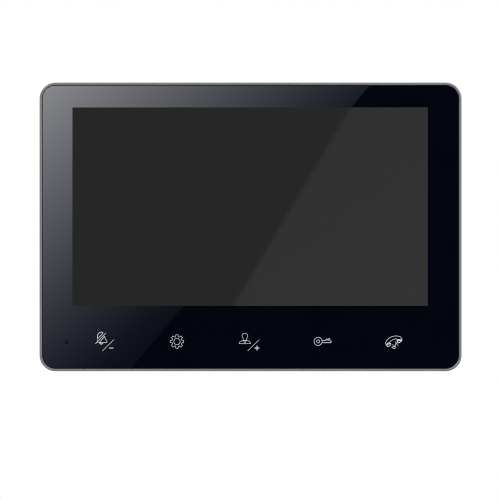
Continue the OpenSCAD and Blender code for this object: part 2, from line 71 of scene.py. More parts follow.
class Nodes:
    """A cleared node tree, with short ways to add nodes to it and join them."""

    def __init__(self, tree):
        self.tree = tree
        tree.nodes.clear()

    def add(self, kind):
        return self.tree.nodes.new(kind)

    def join(self, source, target):
        self.tree.links.new(source, target)

    def feed(self, values, sockets):
        """Gives each socket its value: another node's output, a number, or a list of numbers."""
        for value, socket in zip(values, sockets):
            if isinstance(value, bpy.types.NodeSocket):
                self.join(value, socket)
            elif value is not None:
                socket.default_value = value

    def maths(self, operation, a, b=None):
        node = self.add("ShaderNodeMath")
        node.operation = operation
        self.feed((a, b), node.inputs)
        return node.outputs["Value"]

    def vector_maths(self, operation, a, b=None, output="Vector"):
        node = self.add("ShaderNodeVectorMath")
        node.operation = operation
        self.feed((a, b), node.inputs)
        return node.outputs[output]

    def spread(self, source, low, high, start=0.35, end=0.65, kind="LINEAR"):
        """The part of a pattern from start to end, stretched from low to high."""
        node = self.add("ShaderNodeMapRange")
        node.interpolation_type = kind
        self.join(source, node.inputs["Value"])
        for socket, value in zip(("From Min", "From Max", "To Min", "To Max"), (start, end, low, high)):
            node.inputs[socket].default_value = value
        return node.outputs["Result"]

    def either(self, ray, other, own):
        """The shader own for one kind of ray, and other for the rest."""
        path = self.add("ShaderNodeLightPath")
        node = self.add("ShaderNodeMixShader")
        self.feed((path.outputs[ray], other, own), node.inputs)
        return node.outputs["Shader"]


class Surface(Nodes):
    """A node material: one Principled shader, with patterns laid over it at their real size."""

    def __init__(self, name, roughness=0.5, metallic=0.0, **sockets):
        self.material = bpy.data.materials.new(name)
        self.material.use_nodes = True
        super().__init__(self.material.node_tree)
        self.shader = self.add("ShaderNodeBsdfPrincipled")
        self.surface = self.add("ShaderNodeOutputMaterial").inputs["Surface"]
        self.join(self.shader.outputs["BSDF"], self.surface)
        self.place = self.add("ShaderNodeTexCoord").outputs["Object"]
        self.shader.inputs["Roughness"].default_value = roughness
        self.shader.inputs["Metallic"].default_value = metallic
        for socket, value in sockets.items():
            title = socket.replace("_", " ").title().replace("Ior", "IOR")
            self.shader.inputs[title].default_value = value

    def scaled(self, size, stretch=(1, 1, 1)):
        """Coordinates in which one unit is size metres, times stretch along each axis."""
        mapping = self.add("ShaderNodeMapping")
        self.join(self.place, mapping.inputs["Vector"])
        mapping.inputs["Scale"].default_value = [1 / (size * s) for s in stretch]
        return mapping.outputs["Vector"]

    def noise(self, size, detail=3.0, stretch=(1, 1, 1)):
        """Cloudy pattern from 0 to 1 whose features are about size metres across."""
        node = self.add("ShaderNodeTexNoise")
        self.join(self.scaled(size, stretch), node.inputs["Vector"])
        node.inputs["Scale"].default_value = 1.0
        node.inputs["Detail"].default_value = detail
        return node.outputs["Fac"]

    def cells(self, size, output="Distance", distance="EUCLIDEAN"):
        """Cell pattern whose cells are about size metres across."""
        node = self.add("ShaderNodeTexVoronoi")
        node.distance = distance
        self.join(self.scaled(size), node.inputs["Vector"])
        node.inputs["Scale"].default_value = 1.0
        return node.outputs[output]

    def bands(self, size, axis="X"):
        """Even stripes across an axis, size metres from one to the next.

        The node's sine turns 20 radians a unit, hence its scale.
        """
        node = self.add("ShaderNodeTexWave")
        node.bands_direction = axis
        self.join(self.scaled(size), node.inputs["Vector"])
        node.inputs["Scale"].default_value = math.tau / 20
        return node.outputs["Fac"]

    def between(self, share, first, second):
        """The colour between two colours at a share from 0 to 1."""
        node = self.add("ShaderNodeMix")
        node.data_type = "RGBA"
        self.join(share, node.inputs["Factor"])
        for socket, colour in (("A_Color", first), ("B_Color", second)):
            target = next(s for s in node.inputs if s.identifier == socket)
            if isinstance(colour, bpy.types.NodeSocket):
                self.join(colour, target)
            else:
                target.default_value = (*colour, 1)
        return next(s for s in node.outputs if s.identifier == "Result_Color")

    def colour(self, source):
        self.join(source, self.shader.inputs["Base Color"])
        return self

    def mottle(self, colour, amount, size, detail=3.0, stretch=(1, 1, 1)):
        """A colour that drifts lighter and darker by a share, over patches of a size."""
        share = self.spread(self.noise(size, detail, stretch), 0, 1)
        darker = [c * (1 - amount) for c in colour]
        lighter = [min(1, c * (1 + amount)) for c in colour]
        return self.between(share, darker, lighter)

    def gloss(self, low, high, size, stretch=(1, 1, 1)):
        """Roughness that drifts from low to high over patches of a size."""
        drift = self.spread(self.noise(size, 2.0, stretch), low, high)
        self.join(drift, self.shader.inputs["Roughness"])
        return self

    def relief(self, height, depth):
        """Bumps as deep as depth metres where height goes from 0 to 1, over any made before."""
        node = self.add("ShaderNodeBump")
        normal = self.shader.inputs["Normal"]
        if normal.is_linked:
            self.join(normal.links[0].from_socket, node.inputs["Normal"])
        self.join(height, node.inputs["Height"])
        node.inputs["Distance"].default_value = depth
        self.join(node.outputs["Normal"], normal)
        return self


def moulded(name, colour, grain, depth, gloss, mottling=0.06, **sockets):
    """Moulded plastic or rubber: spark-eroded grain, faint flow marks, gloss that drifts."""
    s = Surface(name, **sockets)
    s.colour(s.mottle(colour, mottling, 9 * MM)).gloss(*gloss, 1.5 * MM)
    return s.relief(s.noise(grain, 4.0), depth)


def metal(name, colour, gloss, lines=(1, 1, 1), line=0.08 * MM):
    """Bare or plated metal: fine lines of the rolling or turning, with a gloss that follows them."""
    s = Surface(name, metallic=1.0)
    s.colour(s.mottle(colour, 0.05, 4 * MM)).gloss(*gloss, 0.3 * MM, lines)
    return s.relief(s.noise(line, 2.0, lines), 0.002 * MM)


def silver_trim():
    """Satin silver-grey lacquer: small flakes under a clear coat."""
    s = Surface("silver_trim", metallic=0.7, coat_weight=0.1, coat_roughness=0.3)
    flake = s.cells(0.08 * MM, "Color")
    s.colour(s.between(s.spread(flake, 0, 1, 0, 1), (0.325, 0.325, 0.33), (0.345, 0.345, 0.35)))
    s.gloss(0.46, 0.48, 0.5 * MM)
    return s.relief(s.noise(0.1 * MM, 2.0), 0.0008 * MM)


def printed_glass():
    """Polished cover glass over blue-black ink."""
    s = Surface("printed_glass", ior=1.5)
    s.colour(s.mottle((0.0011, 0.0020, 0.0051), 0.04, 12 * MM))
    return s.gloss(0.004, 0.006, 25 * MM)


def ground_glass():
    """Ground wall of a hole in the glass, inked black."""
    s = Surface("ground_glass", specular_ior_level=0.1)
    s.colour(s.mottle((0.004, 0.004, 0.005), 0.2, 0.1 * MM)).gloss(0.7, 0.9, 0.1 * MM)
    return s.relief(s.noise(0.03 * MM, 2.0), 0.004 * MM)


def felt():
    """Grey felt: short tangled fibres."""
    s = Surface("felt", roughness=1.0, specular_ior_level=0.1)
    s.colour(s.mottle((0.17, 0.17, 0.18), 0.3, 0.06 * MM))
    return s.relief(s.noise(0.03 * MM, 3.0, (1, 1, 5)), 0.01 * MM)


def screen_glass():
    """Dark screen that is off: neutral grey polariser under a faint anti-glare finish."""
    s = Surface("screen_glass", ior=1.5)
    s.colour(s.mottle((0.0199, 0.0199, 0.0199), 0.03, 0.25 * MM))
    return s.gloss(0.012, 0.016, 6 * MM)


def screen_ink():
    """Light grey screen-printed ink with the weave of the printing mesh."""
    s = Surface("screen_ink", ior=1.45)
    s.colour(s.mottle((0.585, 0.58, 0.635), 0.05, 0.1 * MM)).gloss(0.45, 0.55, 0.2 * MM)
    weave = s.maths("MULTIPLY", s.bands(0.06 * MM, "X"), s.bands(0.06 * MM, "Z"))
    return s.relief(weave, 0.002 * MM)


def zinc_steel():
    """Zinc-plated sheet: soft spangle, rolling lines and a faint blue and yellow passivation."""
    s = Surface("zinc_steel", metallic=1.0)
    tint = s.spread(s.noise(30 * MM, 2.0), 0, 1, 0.3, 0.7)
    tone = s.between(tint, (0.57, 0.60, 0.65), (0.66, 0.64, 0.58))
    spangle = s.spread(s.cells(3.5 * MM, "Color"), 0.86, 1.0, 0, 1)
    s.colour(s.between(spangle, (0.35, 0.37, 0.40), tone))
    s.gloss(0.28, 0.42, 0.5 * MM, (1, 1, 14))
    return s.relief(s.noise(0.12 * MM, 2.0, (1, 1, 20)), 0.003 * MM)


def rating_film():
    """Blank silver polyester label, faintly lined from its rolling."""
    s = Surface("rating_film", metallic=0.35)
    s.colour(s.mottle((0.72, 0.72, 0.71), 0.03, 0.6 * MM, 3.0, (12, 1, 1))).gloss(0.32, 0.4, 1 * MM)
    return s.relief(s.noise(0.08 * MM, 2.0, (12, 1, 1)), 0.001 * MM)


def circuit_board(name, mask, trace):
    """Solder mask over bundles of copper tracks, with small tinned holes."""
    s = Surface(name, coat_weight=0.3, coat_roughness=0.2)
    steps = s.maths("FRACT", s.maths("MULTIPLY", s.cells(9 * MM, distance="CHEBYCHEV"), 14.0))
    tracks = s.maths("GREATER_THAN", steps, 0.55)
    holes = s.maths("LESS_THAN", s.cells(2.6 * MM), 0.12)
    covered = s.between(tracks, s.mottle(mask, 0.08, 5 * MM), trace)
    s.colour(s.between(holes, covered, (0.62, 0.60, 0.56)))
    s.gloss(0.3, 0.42, 1 * MM)
    return s.relief(tracks, 0.02 * MM)


def striped(name, first, second, size, axis, gloss, depth):
    """Even stripes of two colours, such as the copper lines in a flat cable."""
    s = Surface(name)
    stripe = s.bands(size, axis)
    s.colour(s.between(s.spread(stripe, 0, 1, 0.4, 0.6), first, second)).gloss(*gloss, 1 * MM)
    return s.relief(stripe, depth)


def foam(name, colour, cell):
    """Closed-cell foam: open pores on the cut face, with painted shade that darkens the pit of each pore."""
    s = Surface(name, roughness=0.9)
    pores = s.cells(cell)
    # Painted shade: the colour darkens towards the middle of each pore, where its pit sinks in
    s.colour(s.between(s.spread(pores, 0, 1, 0.1, 0.6), [c * 0.4 for c in colour], colour))
    return s.relief(pores, cell * 0.4)


def matte_film(name, colour, grain, gloss):
    """Thin plastic film or sheet with a fine even grain."""
    s = Surface(name)
    s.colour(s.mottle(colour, 0.03, grain * 6)).gloss(*gloss, grain * 8)
    return s.relief(s.noise(grain, 2.0), grain * 0.03)


CAD_LOOKS = {
    "zinc_steel": zinc_steel,
    "silver_trim": silver_trim,
    "black_plastic": lambda: moulded(
        "black_plastic", (0.022, 0.022, 0.024), 0.12 * MM, 0.006 * MM, (0.48, 0.6)
    ),
    "black_tape": lambda: foam("black_tape", (0.02, 0.02, 0.02), 0.2 * MM),
    "cover_plastic": lambda: moulded(
        "cover_plastic", (0.028, 0.029, 0.032), 0.35 * MM, 0.03 * MM, (0.46, 0.52), 0.03
    ),
    "screw_steel": lambda: metal("screw_steel", (0.46, 0.46, 0.47), (0.22, 0.36), line=0.05 * MM),
    "label_film": rating_film,
    "black_foam": lambda: foam("black_foam", (0.03, 0.03, 0.03), 0.35 * MM),
    "display_steel": lambda: metal("display_steel", (0.60, 0.61, 0.62), (0.25, 0.4), (18, 1, 1)),
    "display_glass": lambda: matte_film("display_glass", (0.02, 0.021, 0.023), 0.1 * MM, (0.08, 0.16)),
    "white_film": lambda: matte_film("white_film", (0.86, 0.86, 0.85), 0.15 * MM, (0.4, 0.6)),
    "clear_acrylic": lambda: matte_film("clear_acrylic", (0.80, 0.84, 0.85), 0.5 * MM, (0.05, 0.12)),
    "led_phosphor": lambda: moulded("led_phosphor", (0.85, 0.72, 0.22), 0.05 * MM, 0.004 * MM, (0.3, 0.5)),
    "white_plastic": lambda: moulded("white_plastic", (0.78, 0.78, 0.76), 0.2 * MM, 0.008 * MM, (0.4, 0.5)),
    "amber_flex": lambda: striped(
        "amber_flex", (0.42, 0.17, 0.03), (0.60, 0.30, 0.08), 0.5 * MM, "X", (0.25, 0.35), 0.01 * MM
    ),
    "board_green": lambda: circuit_board("board_green", (0.008, 0.075, 0.028), (0.02, 0.14, 0.055)),
    "copper": lambda: metal("copper", (0.80, 0.42, 0.27), (0.2, 0.34), (8, 1, 1)),
    "chip_black": lambda: moulded("chip_black", (0.018, 0.018, 0.019), 0.08 * MM, 0.006 * MM, (0.5, 0.62)),
    "black_rubber": lambda: moulded("black_rubber", (0.014, 0.014, 0.014), 0.2 * MM, 0.01 * MM, (0.7, 0.85)),
    "can_aluminium": lambda: metal("can_aluminium", (0.78, 0.78, 0.79), (0.18, 0.3), (1, 20, 1)),
    "red_wire": lambda: moulded("red_wire", (0.45, 0.02, 0.015), 0.2 * MM, 0.006 * MM, (0.3, 0.42)),
    "speaker_steel": lambda: metal("speaker_steel", (0.50, 0.50, 0.51), (0.3, 0.45)),
    "magnet_nickel": lambda: metal("magnet_nickel", (0.66, 0.63, 0.58), (0.12, 0.24)),
    "cone_film": lambda: matte_film("cone_film", (0.05, 0.05, 0.055), 0.3 * MM, (0.4, 0.55)),
    "black_wire": lambda: moulded("black_wire", (0.02, 0.02, 0.02), 0.2 * MM, 0.006 * MM, (0.35, 0.5)),
    "ferrite": lambda: moulded("ferrite", (0.055, 0.05, 0.048), 0.15 * MM, 0.02 * MM, (0.55, 0.75)),
    "ceramic_tan": lambda: moulded("ceramic_tan", (0.52, 0.38, 0.22), 0.1 * MM, 0.006 * MM, (0.45, 0.6)),
    "white_nylon": lambda: moulded(
        "white_nylon", (0.80, 0.78, 0.71), 0.25 * MM, 0.01 * MM, (0.32, 0.45), 0.04,
        subsurface_weight=0.1, subsurface_scale=0.5 * MM,
    ),
    "gold_pin": lambda: metal("gold_pin", (0.86, 0.62, 0.26), (0.14, 0.26), (1, 8, 1)),
    "card_black": lambda: moulded("card_black", (0.016, 0.016, 0.018), 0.12 * MM, 0.006 * MM, (0.38, 0.5)),
    "knob_black": lambda: moulded("knob_black", (0.02, 0.02, 0.022), 0.15 * MM, 0.008 * MM, (0.4, 0.5)),
}


def dress_cad_nodes():
    """Gives every CAD node the finish that its record slot names. Nodes of one slot share it.

    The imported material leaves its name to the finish, and its new name leads later nodes to the same one.
    """
    made = {}
    for node in NODES.values():
        for i, old in enumerate(node.data.materials):
            name = old.name
            if name not in made and name in CAD_LOOKS:
                old.name = "plain_" + name
                made[name] = CAD_LOOKS[name]().material
                made["plain_" + name] = made[name]
            if name in made:
                node.data.materials[i] = made[name]


# ---- Meshes ----

# Points nearer than this, in metres, become one
SAME_POINT = 1e-7
# The same for ink, in millimetres: first where outlines cross, then along the ink's own outline, where turns
# flatter than the angle are straightened too
INK_NEAR = 0.007
INK_MERGE = 0.6 * INK_NEAR
INK_STRAIGHT = math.radians(2)


def rounded_rect(width, height, radius, steps=12):
    """Corner-rounded rectangle about the origin, as points [x, z], anticlockwise."""
    points = []
    for quarter in range(4):
        turn = quarter * math.pi / 2
        cx = (width / 2 - radius) * (1 if quarter in (0, 3) else -1)
        cz = (height / 2 - radius) * (1 if quarter in (0, 1) else -1)
        for i in range(steps + 1):
            a = turn + i / steps * math.pi / 2
            points.append((cx + radius * math.cos(a), cz + radius * math.sin(a)))
    return points


def circle(x, z, radius, count=32):
    """Points [x, z] round a middle, anticlockwise."""
    return [
        (x + radius * math.cos(i / count * math.tau), z + radius * math.sin(i / count * math.tau))
        for i in range(count)
    ]


def triangles_of(outlines, inside, near):
    """Triangles along the outlines where inside says so of their middle: (points, corners of each).

    Points nearer than near to each other become one.
    """
    points, faces = [], []
    for outline in outlines:
        faces.append(list(range(len(points), len(points) + len(outline))))
        points += [Vector(p) for p in outline]
    filled = delaunay_2d_cdt(points, [], faces, 0, near)
    middles = [sum((filled[0][i] for i in face), Vector((0, 0))) / len(face) for face in filled[2]]
    return filled[0], [face for face, middle in zip(filled[2], middles) if inside(middle)]


def piece_from(mesh, name, material, smooth_below=None):
    """Turns a bmesh into a piece that rides on the monitor, with its faces turned outwards."""
    bmesh.ops.recalc_face_normals(mesh, faces=mesh.faces)
    data = bpy.data.meshes.new(name)
    mesh.to_mesh(data)
    mesh.free()
    data.materials.append(material)
    if smooth_below is not None:
        data.polygons.foreach_set("use_smooth", [True] * len(data.polygons))
        data.set_sharp_from_angle(angle=smooth_below)
    piece = bpy.data.objects.new(name, data)
    SCENE.collection.objects.link(piece)
    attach(piece, "monitor")
    return piece


def stacked(profile_rings, holes=(), closed=False):
    """A solid from rings of the same number of points, each (points, y), with round holes through it.

    Each hole is a list of rings (points, y) that runs from the same first y to the same last y. The ends
    are filled. Where closed, the last ring joins the first instead, which makes a hollow band.
    """
    mesh = bmesh.new()

    def wall(rings):
        rows = [[mesh.verts.new((x, y, z)) for x, z in points] for points, y in rings]
        for low, high in zip(rows, rows[1:] + (rows[:1] if closed else [])):
            for i in range(len(low)):
                j = (i + 1) % len(low)
                mesh.faces.new((low[i], low[j], high[j], high[i]))
        return rows

    walls = [wall(profile_rings)] + [wall(hole) for hole in holes]
    if closed:
        return mesh
    for end in (0, -1):
        loops = [rows[end] for rows in walls]
        outer, *inner = [[Vector((v.co.x, v.co.z)) for v in loop] for loop in loops]
        _, corners = triangles_of([outer, *inner], lambda p: outside(inner, p), SAME_POINT)
        verts = [v for loop in loops for v in loop]
        for face in corners:
            mesh.faces.new([verts[i] for i in face])
    return mesh


def holds(outline, p):
    """Whether a point is inside an outline that is convex and runs anticlockwise."""
    return all((b - a).cross(p - a) > 0 for a, b in zip(outline, outline[1:] + outline[:1]))


def outside(outlines, p):
    """Whether a point is in none of several such outlines."""
    return not any(holds(outline, p) for outline in outlines)


def thick(flat, middle, y_back, y_front):
    """A solid in metres from a flat mesh in millimetres: its front, its back and the wall round it."""
    mesh = bmesh.new()
    flat.verts.index_update()
    front, back = (
        [mesh.verts.new((middle[0] + v.co.x * MM, y, middle[1] + v.co.z * MM)) for v in flat.verts]
        for y in (y_front, y_back)
    )
    for face in flat.faces:
        corners = [v.index for v in face.verts]
        mesh.faces.new([front[i] for i in corners])
        mesh.faces.new([back[i] for i in reversed(corners)])
    for edge in flat.edges:
        if edge.is_boundary:
            a, b = (v.index for v in edge.verts)
            mesh.faces.new((front[a], front[b], back[b], back[a]))
    flat.free()
    return mesh


def ink(outlines, name, material, middle, y_back, y_front):
    """Flat printed mark: the union of convex outlines, which are in millimetres about its middle."""
    shapes = []
    for outline in outlines:
        around = [Vector(p) for p in outline]
        centre = sum(around, Vector((0, 0))) / len(around)
        shapes.append((around, centre, max((p - centre).length for p in around)))

    def inked(p):
        return any((p - centre).length < reach and holds(around, p) for around, centre, reach in shapes)

    points, corners = triangles_of(outlines, inked, INK_NEAR)
    flat = bmesh.new()
    verts = [flat.verts.new((p.x, 0, p.y)) for p in points]
    for face in corners:
        flat.faces.new([verts[i] for i in face])
    bmesh.ops.delete(flat, geom=[v for v in flat.verts if not v.link_faces], context="VERTS")
    bmesh.ops.remove_doubles(flat, verts=flat.verts, dist=INK_MERGE)
    bmesh.ops.dissolve_limit(flat, angle_limit=INK_STRAIGHT, verts=flat.verts, edges=flat.edges)
    bmesh.ops.triangulate(flat, faces=flat.faces)
    return piece_from(thick(flat, middle, y_back, y_front), name, material)


# ---- Printed symbols: lines in millimetres about the middle of each key ----

STROKE = 0.17


def smooth(points, closed=False, steps=6):
    """A curve through the points, as short straight lines."""
    n = len(points)
    out = []
    for i in range(n if closed else n - 1):
        p = [
            Vector(points[(i + k) % n] if closed else points[min(max(i + k, 0), n - 1)])
            for k in (-1, 0, 1, 2)
        ]
        for step in range(steps):
            t = step / steps
            linear = (p[2] - p[0]) * t
            squared = (2 * p[0] - 5 * p[1] + 4 * p[2] - p[3]) * t * t
            cubed = (3 * p[1] - p[0] - 3 * p[2] + p[3]) * t * t * t
            out.append(0.5 * (2 * p[1] + linear + squared + cubed))
    if not closed:
        out.append(Vector(points[-1]))
    return [tuple(v) for v in out]


def line(points, closed=False, width=STROKE):
    """Outlines that together draw a line with round ends and corners."""
    outlines = []
    pairs = list(zip(points, points[1:] + points[:1] if closed else points[1:]))
    for start, end in pairs:
        a, b = Vector(start), Vector(end)
        side = (b - a).orthogonal().normalized() * width / 2
        outlines.append([tuple(a + side), tuple(a - side), tuple(b - side), tuple(b + side)])
    for x, z in points:
        outlines.append(circle(x, z, width / 2, 12))
    return outlines


def bar(x, z, width, height):
    """A filled rectangle about a middle, as a list of one outline."""
    return [[
        (x - width / 2, z - height / 2), (x + width / 2, z - height / 2),
        (x + width / 2, z + height / 2), (x - width / 2, z + height / 2),
    ]]


def bell_off_or_quieter():
    dome = smooth([(-2.95, 1.3), (-3.1, 2.3), (-2.7, 3.4), (-1.75, 4.05), (-0.85, 3.95), (-0.8, 3.5)])
    skirt = [
        (-0.05, 2.3), (0.3, 1.3), (1.05, 0.05), (0.95, -0.46), (-0.55, -0.49), (-2.25, -0.46), (-0.4, 1.75),
    ]
    return (
        line(dome, True, 0.27)
        + line([(-2.95, 1.3), (-3.05, 0.4), (-3.4, -0.35), (-2.25, -0.46)], width=0.12)
        + line([(-3.9, -0.9), (0.5, 3.6)], width=0.25)
        + line(skirt, True, 0.24)
        + line(smooth([(-2.1, -0.7), (-1.45, -1.15), (-0.8, -0.7)]), width=0.36)
        + line([(4.0, 0.78), (-0.85, -4.0)], width=0.19)
        + bar(2.87, -2.82, 1.9, 0.34)
    )


def gear():
    teeth = []
    for tooth in range(8):
        for turn, reach in ((-18, 2.1), (-9, 2.95), (9, 2.95), (18, 2.1)):
            a = math.radians(tooth * 45 + turn)
            teeth.append((reach * math.sin(a), reach * math.cos(a)))
    return line(teeth, True, 0.19) + line(circle(0, 0, 1.36, 28), True, 0.19)


def person_add():
    middle = -1.95
    head = [
        (middle + 1.23 * math.sin(math.radians(a)), 2.4 + 1.2 * math.cos(math.radians(a)))
        for a in range(-140, 141, 10)
    ]
    outlines = (
        line([(middle - 0.6, 0.5)] + head + [(middle + 0.6, 0.5)])
        + line([(middle - 2.45, -0.93), (middle + 2.45, -0.93)])
        + line([(middle - 0.95, 0.47), (middle + 0.95, 0.47)], width=0.26)
        + line([(middle - 0.6, 0.35), (middle, -0.6), (middle + 0.6, 0.35)])
    )
    for side in (-1, 1):
        shoulder = [(0.6, 0.5), (1.75, 0.15), (2.35, -0.4), (2.45, -0.93)]
        outlines += line(smooth([(middle + side * x, z) for x, z in shoulder]))
    return (
        outlines
        + line([(4.25, 0.8), (-0.75, -4.05)])
        + bar(3.3, -2.83, 2.0, 0.4)
        + bar(3.3, -2.83, 0.4, 2.0)
    )


def door_key():
    blade = [
        (0.1, 0.45), (1.75, 0.45), (1.9, 1.1), (2.3, 1.1), (2.45, 0.6), (2.75, 0.6), (2.9, 1.2),
        (3.35, 1.2), (3.5, 0.42), (4.2, -0.05), (3.7, -0.52), (0.1, -0.52),
    ]
    return (
        line(circle(-1.62, 0.07, 1.76, 32), True, 0.2)
        + line(circle(-1.58, 0.05, 0.7, 20), True, 0.19)
        + line(blade, width=0.25)
    )


def handset():
    back = smooth([
        (-2.95, -2.15), (-3.6, -1.3), (-3.72, -0.5), (-3.1, 0.6), (-2.1, 1.55), (-0.7, 2.2), (1.0, 2.4),
        (2.4, 2.15), (3.2, 1.4), (3.35, 0.7), (2.95, 0.0), (2.0, -0.55),
    ])
    inside = smooth([(-2.1, -0.5), (-1.7, 0.15), (-0.95, 0.6), (0.0, 1.0), (0.85, 1.2), (1.25, 0.75)])
    left_ear = smooth([(-3.1, -0.95), (-2.1, -0.6), (-1.5, -1.2), (-2.4, -2.1), (-3.0, -2.05)], True)
    right_ear = smooth([(1.3, 0.75), (2.9, 0.8), (3.0, 0.2), (2.0, -0.5), (1.55, -0.2)], True)
    fingers = smooth([(-1.05, -2.45), (-0.3, -2.95), (0.2, -3.05), (0.5, -2.2), (-0.1, -2.3)], True)
    return (
        line(back, width=0.22)
        + line(inside, width=0.19)
        + line(left_ear, True, 0.3)
        + line([(-3.2, -1.3), (-2.1, -0.9)], width=0.4)
        + line(right_ear, True, 0.36)
        + line([(1.4, 0.5), (2.9, 0.5)], width=0.4)
        + line(smooth([(0.6, -0.2), (0.75, -1.1), (0.1, -1.95)]), width=0.26)
        + line([(1.5, -0.4), (0.8, -1.1)], width=0.26)
        + line([(-0.75, -1.2), (-0.3, -2.1)])
        + line(fingers, width=0.24)
        + line([(1.15, -1.0), (1.75, -1.9)])
    )


SYMBOLS = (
    ("key_symbol_bell", bell_off_or_quieter),
    ("key_symbol_gear", gear),
    ("key_symbol_person", person_add),
    ("key_symbol_key", door_key),
    ("key_symbol_handset", handset),
)

# ---- The pieces: rim, front glass, felt, screen and symbols ----

CORNER, RIM_WALL = 7.0 * MM, 1.13 * MM
# The rim's rounding outside, its slope down to the glass, and the softening of its other edges
RIM_FILLET, RIM_SLOPE, RIM_EDGE = 0.4 * MM, 0.25 * MM, 0.08 * MM
# The glass's polished edge, and the flat border that keeps the edge's shading off the face
GLASS_CORNER, GLASS_EDGE, GLASS_BORDER = 5.7 * MM, 0.06 * MM, 0.1 * MM
MIC_X, MIC_Z, MIC_R, MIC_EDGE = -79.5 * MM, -50.0 * MM, 0.8 * MM, 0.05 * MM
SCREEN_W, SCREEN_H, SCREEN_X, SCREEN_Z = 154.06 * MM, 86.0 * MM, -0.2 * MM, 8.8 * MM
SCREEN_CORNER = 0.2 * MM
# How far the screen's finish and the ink reach into the glass and stand proud of it
FINISH = 0.03 * MM
KEY_PITCH = 31.4 * MM
SMOOTH_BELOW, GLASS_SMOOTH_BELOW = math.radians(40), math.radians(32)


def rim(material):
    """Silver band: rounded outside, flat in front, sloping down to the glass inside."""
    low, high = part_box("rim_trim")
    width, height = high.x - low.x, high.z - low.z
    edge, bend = RIM_EDGE, 0.3 * RIM_EDGE
    slope_top, wall_top = RIM_WALL - RIM_SLOPE, low.y + RIM_SLOPE
    profile = [(edge, high.y), (bend, high.y - bend), (0, high.y - edge), (0, low.y + RIM_FILLET)]
    for a in range(15, 91, 15):
        turn = math.radians(a)
        profile.append((RIM_FILLET * (1 - math.cos(turn)), low.y + RIM_FILLET * (1 - math.sin(turn))))
    profile += [
        (slope_top - edge, low.y), (slope_top, low.y + bend), (RIM_WALL - bend, wall_top),
        (RIM_WALL, wall_top + edge), (RIM_WALL, high.y),
    ]
    rings = [(rounded_rect(width - 2 * d, height - 2 * d, CORNER - d, 24), y) for d, y in profile]
    band = piece_from(stacked(rings, closed=True), "silver_rim", material, SMOOTH_BELOW)
    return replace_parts(band, "rim_trim")


def front_glass(material, ground):
    """Cover glass with rounded corners, a polished edge and the microphone hole, whose wall is ground.

    Gives the piece and the y of its front face.
    """
    low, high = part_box("front_glass")
    outer_w, outer_h = high.x - low.x, high.z - low.z

    def ring(inset, y):
        return rounded_rect(outer_w - 2 * inset, outer_h - 2 * inset, GLASS_CORNER - inset), y

    rings = [ring(0, high.y)]
    for a in range(0, 91, 15):
        turn = math.radians(a)
        rings.append(ring(GLASS_EDGE * (1 - math.cos(turn)), low.y + GLASS_EDGE * (1 - math.sin(turn))))
    rings.append(ring(GLASS_EDGE + GLASS_BORDER, low.y))
    hole = [
        (circle(MIC_X, MIC_Z, MIC_R), high.y),
        (circle(MIC_X, MIC_Z, MIC_R), low.y + MIC_EDGE),
        (circle(MIC_X, MIC_Z, MIC_R + MIC_EDGE), low.y),
    ]
    solid = stacked(rings, [hole])
    glass = piece_from(solid, "front_glass_panel", material, GLASS_SMOOTH_BELOW)
    glass.data.materials.append(ground)
    for face in glass.data.polygons:
        near_hole = math.hypot(face.center.x - MIC_X, face.center.z - MIC_Z) < 2 * MIC_R
        faces_front_or_back = abs(face.normal.y) > 0.9
        if near_hole and not faces_front_or_back:
            face.material_index = 1
    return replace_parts(glass, "front_glass"), low.y


def mic_felt(material):
    """Felt dot over the microphone's inlet, at the bottom of the hole: radius and height in millimetres."""
    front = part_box("microphone")[0].y
    profile = ((0.75, 0.0), (0.75, 0.1), (0.7, 0.14), (0.6, 0.16))
    rings = [(circle(MIC_X, MIC_Z, radius * MM), front - height * MM) for radius, height in profile]
    return piece_from(stacked(rings), "mic_felt", material, SMOOTH_BELOW)


def screen(material, glass_y):
    """The part of the front where the display shows, a hair proud of the glass."""
    corners = rounded_rect(SCREEN_W, SCREEN_H, SCREEN_CORNER, 3)
    outline = [(x + SCREEN_X, z + SCREEN_Z) for x, z in corners]
    rings = [(outline, glass_y + FINISH), (outline, glass_y - FINISH)]
    return piece_from(stacked(rings), "screen_window", material)


def symbols(material, glass_y):
    """The five printed symbols, each over its key's copper pad."""
    low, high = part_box("touch_pads")
    middle_x, middle_z = (low.x + high.x) / 2, (low.z + high.z) / 2
    for i, (name, drawing) in enumerate(SYMBOLS):
        place = (middle_x + (i - 2) * KEY_PITCH, middle_z)
        ink(drawing(), name, material, place, glass_y + FINISH, glass_y - FINISH)


dress_cad_nodes()
rim(NODES["rim_trim"].data.materials[0])
GLASS, GLASS_Y = front_glass(printed_glass().material, ground_glass().material)
mic_felt(felt().material)
SCREEN_PIECE = screen(screen_glass().material, GLASS_Y)
symbols(screen_ink().material, GLASS_Y)

# ---- Camera: straight on, the body a little above the middle of the frame ----

VIEW_DISTANCE = 2.0
RIM_Y = CAD_BOX[0].y
# How wide the view is at the rim's front
FRAME_WIDTH = 0.21676
CAMERA_AT = Vector((-0.00024, RIM_Y - VIEW_DISTANCE, -0.01002))

camera_data = bpy.data.cameras.new("camera")
camera_data.sensor_width = 36
camera_data.lens = camera_data.sensor_width * VIEW_DISTANCE / FRAME_WIDTH
camera_data.clip_start = 0.1
camera_data.clip_end = 60
camera = bpy.data.objects.new("camera", camera_data)
camera.location = CAMERA_AT
camera.rotation_euler = (math.pi / 2, 0, 0)
SCENE.collection.objects.link(camera)
SCENE.camera = camera
SCENE.view_settings.view_transform = "Standard"
SCENE.cycles.filter_width = 1.0
SCENE.cycles.denoising_prefilter = "NONE"

# ---- Studio: white surround, soft lights, pale floor ----

# How bright the studio is in mirrors, and the strips of light there: across what, how wide, how uneven
MIRRORED_LIGHT = 0.42
STRIPS_ACROSS = Vector((0.8, 0.15, 0.58))
STRIP_WIDTH = 0.1
STRIP_DARK, STRIP_BRIGHT = 0.2, 1.8
